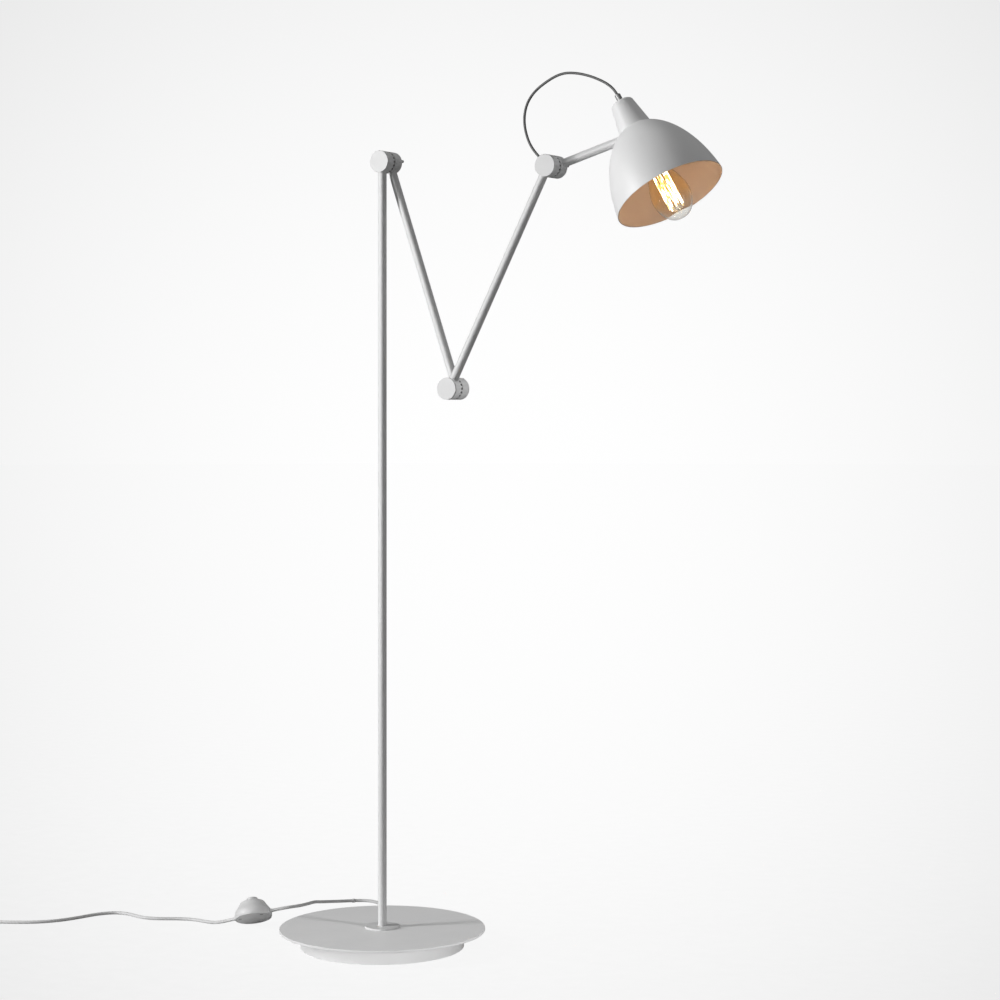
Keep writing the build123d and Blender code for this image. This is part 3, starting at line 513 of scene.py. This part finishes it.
def coil_line():
    """The coil's control points: turns beside and on each other, then its straight lead out to the plug."""
    swell = 3 / (2 + math.cos(2 * math.pi / coil_points_per_turn))
    points = []
    for turn, (radius, height) in enumerate(coil_turns):
        next_radius, next_height = coil_turns[min(turn + 1, len(coil_turns) - 1)]
        for n in range(coil_points_per_turn):
            share = n / coil_points_per_turn
            step = max(0.0, (share - coil_step_from) / (1 - coil_step_from))
            step = step * step * (3 - 2 * step)
            here = swell * (radius + (next_radius - radius) * step)
            angle = -math.pi / 2 - 2 * math.pi * share
            points.append(coil_centre + here * (math.cos(angle) * right + math.sin(angle) * away)
                          + up * (height + (next_height - height) * step))
    radius, height = coil_turns[-1]
    for n in range(coil_points_per_turn // 4):
        angle = -math.pi / 2 - 2 * math.pi * n / coil_points_per_turn
        points.append(coil_centre + swell * radius * (math.cos(angle) * right + math.sin(angle) * away)
                      + up * height)
    leave = coil_centre - right * radius + up * height
    return [*points, leave, leave + away * coil_lead_out / 2, leave + away * coil_lead_out]


def make_mains_cord(finish):
    """The two stretches of the mains cord, and the small band on the first."""
    to_switch = nurbs("mains_cord_to_switch", [gland_tip, *base_run_points, switch_entry], mains_radius)
    to_plug = nurbs("mains_cord_to_plug", [switch_outlet, *floor_run_points, *coil_line()], mains_radius)
    for cord in (to_switch, to_plug):
        cord.data.materials.append(finish["cord_cover"])
        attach(cord, "stand")
    line = curve_line([gland_tip, *base_run_points, switch_entry])
    nearest = min(range(1, len(line) - 1), key=lambda n: (line[n] - cord_band_near).length)
    band_length = 0.005
    band_radius = mains_radius + 0.0007
    place = frame_along(line[nearest + 1] - line[nearest - 1], line[nearest])
    mesh = bmesh.new()
    closed_lathe(mesh, [
        (mains_radius, -band_length / 2), (band_radius - 0.0003, -band_length / 2),
        (band_radius, -band_length / 2 + 0.0005), (band_radius, band_length / 2 - 0.0005),
        (band_radius - 0.0003, band_length / 2), (mains_radius, band_length / 2)], place, 32)
    band = piece_from("cord_band", mesh, finish["cord_cover"], "stand")
    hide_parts("cord_base_run")
    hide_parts("cord_floor_run", "cord_coil")


def make_loop_cable(finish):
    """The cable that arches from the wrist to the head, in two fixed stretches that take the place of its two
    nodes.
    """
    stretches = (
        ("loop_cable_from_wrist", [loop_start, *loop_lower_points, loop_middle], "arm2", "arm3",
         "loop_cable_lower", loop_lengths[0]),
        ("loop_cable_to_head", [loop_middle, *loop_upper_points, loop_end], "arm3", "head",
         "loop_cable_upper", loop_lengths[1]),
    )
    for name, points, first, second, node, length in stretches:
        line = curve_line(points, 12)
        mesh = bmesh.new()
        tube(mesh, line, loop_radius, 20)
        cable = piece_from(name, mesh, finish["loop_cover"], None)
        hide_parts(node)
        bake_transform(cable)


# ---- the bulb ----------------------------------------------------------------------------------------
def make_bulb(finish):
    """What the clear bulb holds: its stem, its wire spiders and the long filament hooked between them."""
    place = frame_along(head_axis, head_point)
    strand_count = 7
    top_at, low_at = 0.068, 0.139
    top_ring, low_ring = 0.0115, 0.0120
    wire_radius = 0.00045
    filament_radius = 0.0007

    mesh = bmesh.new()
    lathe(mesh, [
        (0, 0.0415), (0.0118, 0.0415), (0.0112, 0.044), (0.0075, 0.051), (0.0048, 0.0565), (0.0042, 0.062),
        (0.0046, 0.0655), (0.0034, 0.068), (0.0017, 0.070), (0.0015, 0.10), (0.0015, 0.139),
        (0.0026, 0.1415), (0.0030, 0.1435), (0.0024, 0.1455), (0, 0.1465)], place, 32)
    stem = piece_from("bulb_stem_glass", mesh, finish["clear_glass"], "head", 60)
    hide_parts("bulb_stem")

    def at(radius, height, turn):
        return place @ Vector((radius * math.cos(turn), radius * math.sin(turn), height))

    wires = bmesh.new()
    glow = bmesh.new()
    step = math.pi / strand_count
    for n in range(strand_count):
        top_turn = 2 * n * step
        low_turn = top_turn + step
        after_turn = top_turn + 2 * step
        tube(wires, [at(0.002, top_at - 0.004, top_turn), at(top_ring * 0.6, top_at - 0.003, top_turn),
                     at(top_ring, top_at, top_turn)], wire_radius, 8)
        tube(wires, [at(0.0015, low_at, low_turn), at(low_ring * 0.6, low_at + 0.0015, low_turn),
                     at(low_ring, low_at, low_turn)], wire_radius, 8)
        tube(glow, curve_line([at(top_ring, top_at, top_turn), at(top_ring + 0.001, top_at + 0.02, top_turn),
                               at(low_ring, low_at - 0.01, low_turn), at(low_ring, low_at, low_turn)], 4),
             filament_radius, 10)
        tube(glow, curve_line([at(low_ring, low_at, low_turn), at(low_ring, low_at - 0.01, low_turn),
                               at(top_ring + 0.001, top_at + 0.02, after_turn),
                               at(top_ring, top_at, after_turn)], 4), filament_radius, 10)
    for side in (0.0, math.pi):
        tube(wires, [at(0.004, 0.043, side), at(0.003, 0.056, side), at(0.0035, 0.062, side),
                     at(top_ring, top_at, side)], wire_radius, 8)
    supports = piece_from("bulb_support_wires", wires, finish["nickel"], "head", 60)
    filament = piece_from("bulb_glowing_filament", glow, finish["filament"], "head", 60)
    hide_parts("bulb_filament")


# ---- the stage ---------------------------------------------------------------------------------------
def backdrop_glow(tree, direction):
    """The white of the floor and backdrop, darker away from the middle of the photo camera's view."""
    middle = (away + backdrop_middle_drop * up).normalized()
    facing = add(tree, "VectorMath", {0: direction, 1: middle}, operation="DOT_PRODUCT")
    glow = levels(tree, facing.outputs["Value"], 1.0 - backdrop_fall, 1.0, 0.0, 1.0)
    return add(tree, "Math", {0: glow, 1: backdrop_least}, operation="MAXIMUM").outputs[0]


def seen_directly(tree):
    """1 for what the camera sees, straight or through glass, 0 for the light that reaches the lamp."""
    path = add(tree, "LightPath").outputs
    straight, through_glass = path["Is Camera Ray"], path["Is Transmission Ray"]
    return add(tree, "Math", {0: straight, 1: through_glass}, operation="MAXIMUM").outputs[0]


def make_stage():
    """A pale floor that meets an even pale backdrop."""
    mesh = bmesh.new()
    bmesh.ops.create_circle(mesh, cap_ends=True, segments=96, radius=floor_radius)
    data = bpy.data.meshes.new("floor")
    mesh.to_mesh(data)
    mesh.free()
    material = bpy.data.materials.new("floor")
    material.use_nodes = True
    tree = material.node_tree
    tree.nodes.remove(tree.nodes["Principled BSDF"])
    place = add(tree, "NewGeometry").outputs["Position"]
    from_base = add(tree, "VectorMath", {0: place}, operation="LENGTH").outputs["Value"]
    near_base = levels(tree, from_base, floor_bounce[0], floor_bounce[1], 0.3, 1.2)
    grain = levels(tree, noise(tree, 30, 2), 0.05, 0.07)
    seen = seen_directly(tree)
    colour = add(tree, "Mix", {0: seen, 2: near_base, 3: grain}, data_type="FLOAT").outputs[0]
    own = add(tree, "BsdfDiffuse", {"Color": colour})
    line = add(tree, "VectorMath", {0: place, 1: camera_place}, operation="SUBTRACT").outputs["Vector"]
    direction = add(tree, "VectorMath", {0: line}, operation="NORMALIZE").outputs["Vector"]
    white = add(tree, "Math", {0: backdrop_glow(tree, direction), 1: floor_own_light}, operation="SUBTRACT")
    level = add(tree, "Math", {0: white.outputs[0], 1: seen}, operation="MULTIPLY").outputs[0]
    glow = add(tree, "Emission", {"Color": grey(1), "Strength": level})
    both = add(tree, "AddShader", {0: own.outputs[0], 1: glow.outputs[0]})
    tree.links.new(both.outputs[0], tree.nodes["Material Output"].inputs["Surface"])
    data.materials.append(material)
    floor = bpy.data.objects.new("floor", data)
    scene.collection.objects.link(floor)

    world = bpy.data.worlds.new("world")
    scene.world = world
    world.use_nodes = True
    tree = world.node_tree
    background = tree.nodes["Background"]
    background.inputs["Color"].default_value = grey(1)
    direction = add(tree, "TexCoord").outputs["Generated"]
    glow = backdrop_glow(tree, direction)
    level = add(tree, "Mix", {0: seen_directly(tree), 2: room_light, 3: glow}, data_type="FLOAT")
    tree.links.new(level.outputs[0], background.inputs["Strength"])


def light_only(light, names):
    """Makes a light fall on these nodes alone."""
    lit = bpy.data.collections.new(light.name)
    for name in names:
        lit.objects.link(nodes[name])
    light.light_linking.receiver_collection = lit


def soft_light(name, place, target, size, power, only=(), gloss_only=False):
    """A rectangular light. If nodes are named, it lights only those."""
    data = bpy.data.lights.new(name, "AREA")
    data.shape = "RECTANGLE"
    data.size, data.size_y = size
    data.energy = power
    light = bpy.data.objects.new(name, data)
    light.location = place
    light.rotation_euler = (Vector(target) - Vector(place)).to_track_quat("-Z", "Y").to_euler()
    light.visible_camera = False
    light.visible_diffuse = not gloss_only
    scene.collection.objects.link(light)
    if only:
        light_only(light, only)


def bulb_light():
    """The part of the bulb's light that its filament leaves out, on the shade alone."""
    data = bpy.data.lights.new("bulb", "POINT")
    data.energy = bulb_power
    data.shadow_soft_size = bulb_light_radius
    data.color = (1.0, 0.96, 0.86)
    light = bpy.data.objects.new("bulb", data)
    light.location = head_point + bulb_light_at * head_axis
    light.visible_camera = False
    scene.collection.objects.link(light)
    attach(light, "head")
    light_only(light, ["shade"])


def make_lights():
    """A tall soft box on the left, a faint one on the right, one overhead, and lights for single nodes."""
    aim = Vector((0.1, 0, 0.8))

    def around(degrees, distance, height):
        turn = math.radians(degrees)
        return aim + distance * (right * math.sin(turn) - away * math.cos(turn)) + up * (height - aim.z)

    joint_nodes = [
        f"{joint}_{part}" for joint in arm_joints
        for part in ("front_barrel", "rear_barrel", "rear_cap", "index_ring", "lever")]
    low_nodes = [
        "base_disc", "switch_cover", "switch_plate", "switch_screws", "switch_button", "switch_grommets"]
    soft_light("key", around(-76, 3.2, 1.25), around(0, 0, 1.0), (0.6, 2.3), 90)
    soft_light("gloss", around(-40, 3.2, 1.25), around(0, 0, 1.0), (0.9, 2.3), 95, gloss_only=True)
    soft_light("head_key", around(-80, 3.0, 1.5), head_point, (0.6, 1.2), 24, only=["shade", "neck_cover"])
    soft_light("fill", around(62, 3.2, 1.2), aim, (0.6, 2.0), 5)
    soft_light("overhead", aim + up * 3.4, aim, (1.4, 1.4), 8)
    soft_light("joint_fill", around(60, 3.2, 1.1), (0.15, 0, 1.2), (0.8, 0.8), 34, only=joint_nodes)
    soft_light("band_front", around(24, 2.4, 0.25), (0, 0, 0.02), (1.6, 0.3), 32, only=["plinth_cover"])
    soft_light("low_front", around(42, 2.4, 0.25), (0, 0, 0.02), (1.6, 0.3), 14, only=low_nodes)
    soft_light("switch_front", around(20, 2.0, 0.06), (-0.27, 0, 0.02), (0.6, 0.1), 14, only=["switch_plate"])
    bulb_light()
    soft_light("disc_side", around(60, 2.2, 1.2), (0, 0, 0), (0.25, 0.25), 19, only=["base_disc"])


# ---- build -------------------------------------------------------------------------------------------
def main():
    scene.view_settings.view_transform = "Standard"
    make_camera()
    finish = make_materials()
    for part in frame["record"]["subparts"]:
        node = nodes[part["node"]]
        node.data.materials.clear()
        node.data.materials.append(finish[drawn_as.get(part["node"], part["material_slot"])])
    make_mains_cord(finish)
    make_loop_cable(finish)
    make_bulb(finish)
    make_stage()
    make_lights()
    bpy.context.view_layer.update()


main()
